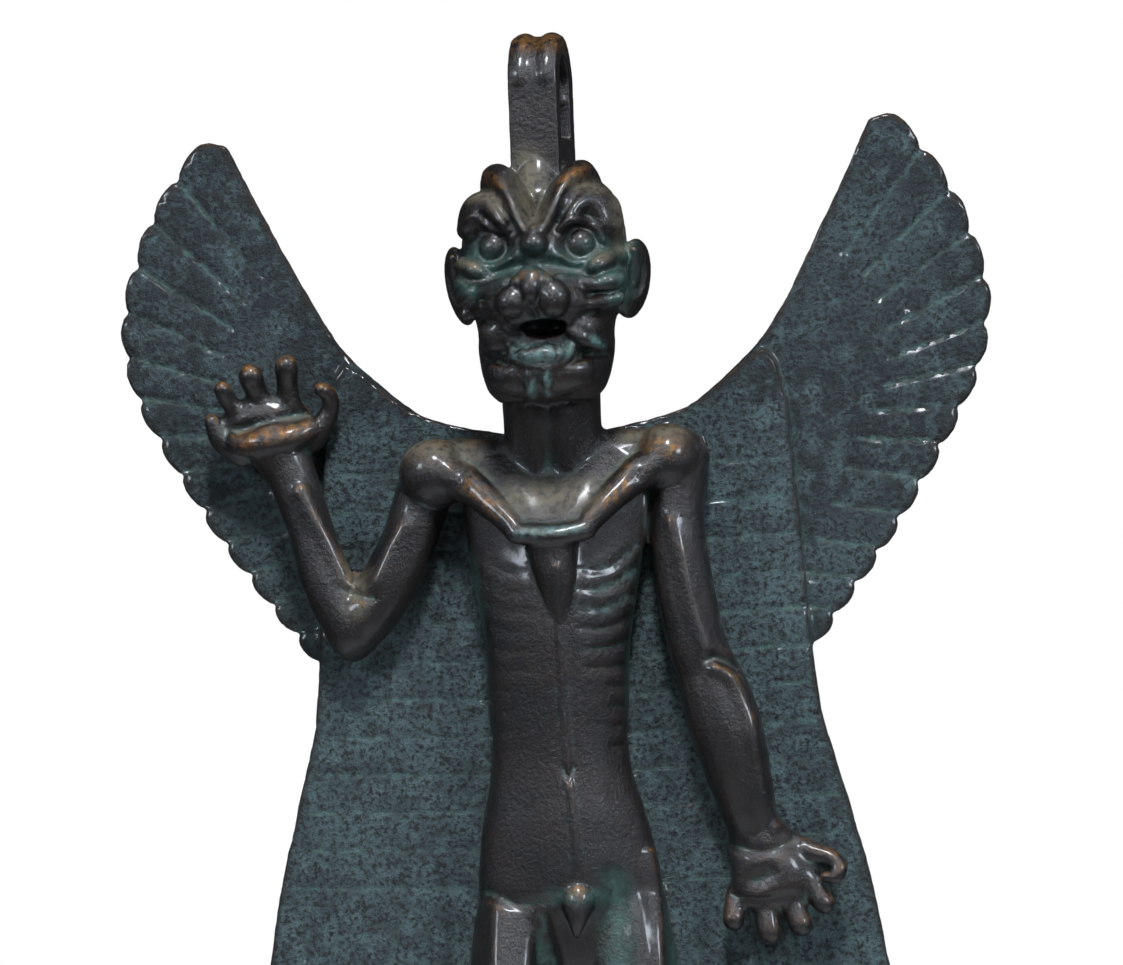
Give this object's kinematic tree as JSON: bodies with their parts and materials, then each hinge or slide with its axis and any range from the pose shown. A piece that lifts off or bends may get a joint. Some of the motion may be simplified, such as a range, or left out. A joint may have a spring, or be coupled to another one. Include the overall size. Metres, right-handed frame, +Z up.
{
  "type": "demon figurine",
  "caption": "Cast bronze statuette of a winged demon with a raised arm, a hanging loop on its head and a low base.",
  "frame": {"origin": "middle of the underside of the base", "axes": "+Z up, the figure faces -Y, +X is to the viewer's right"},
  "size_m": [0.087, 0.056, 0.15],
  "materials": {
    "patinated_bronze": "dark brown and green patina, worn to brown gold on the edges"
  },
  "bodies": {
    "root": {"demon_figurine": "patinated_bronze"}
  },
  "joints": []
}
